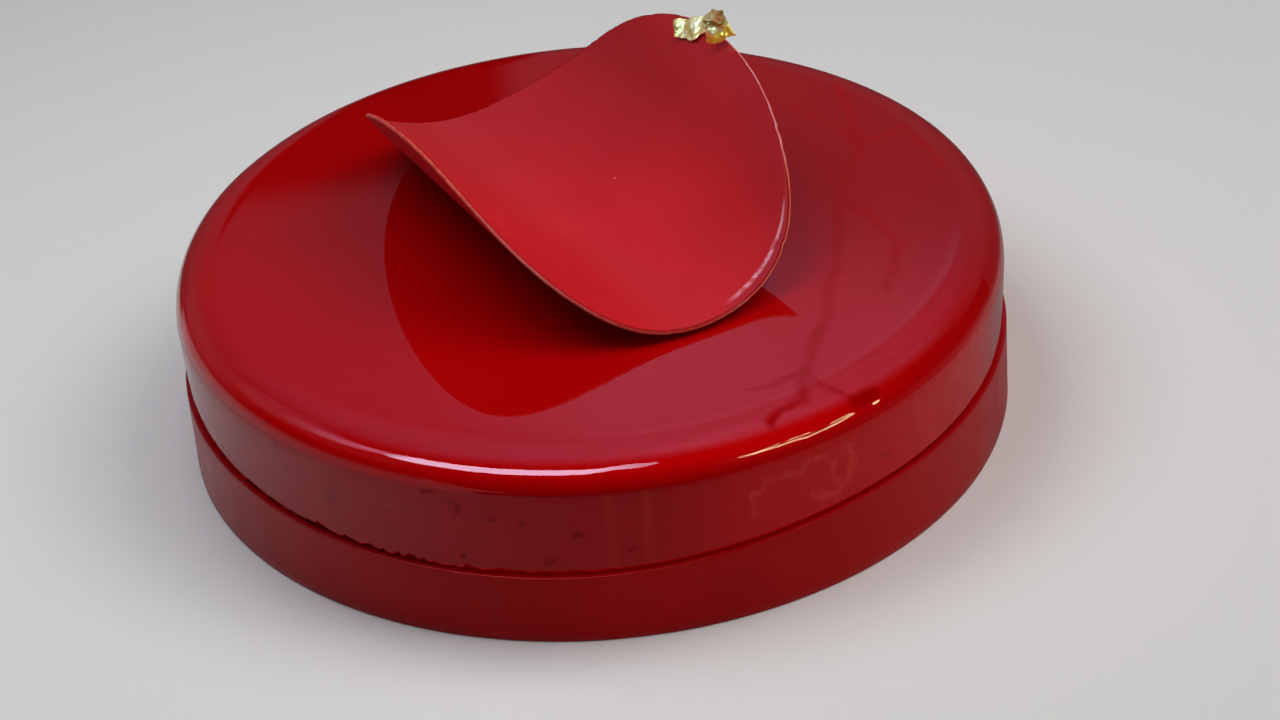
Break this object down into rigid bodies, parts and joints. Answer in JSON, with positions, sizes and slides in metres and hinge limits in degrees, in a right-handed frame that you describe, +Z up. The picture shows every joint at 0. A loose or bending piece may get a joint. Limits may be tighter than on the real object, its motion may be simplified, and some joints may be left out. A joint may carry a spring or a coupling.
{
  "type": "entremet cake",
  "caption": "Round mirror-glazed mousse cake with a soft top edge, a chocolate band round its foot, a bent chocolate disc on top and a flake of gold leaf.",
  "frame": {"origin": "middle of the cake's underside, on the surface it stands on", "axes": "+Z up along the cake's axis; -Y is the front, the side the picture looks at; +X to the right"},
  "size_m": [0.206, 0.206, 0.0926],
  "materials": {
    "red_mirror_glaze": "deep red mirror glaze",
    "red_chocolate_band": "satin dark red chocolate",
    "red_chocolate_disc": "satin bright red chocolate",
    "gold_leaf": "crumpled bright gold leaf"
  },
  "bodies": {
    "root": {"glazed_cake": "red_mirror_glaze", "chocolate_band": "red_chocolate_band", "chocolate_disc": "red_chocolate_disc", "gold_leaf": "gold_leaf"}
  },
  "joints": []
}
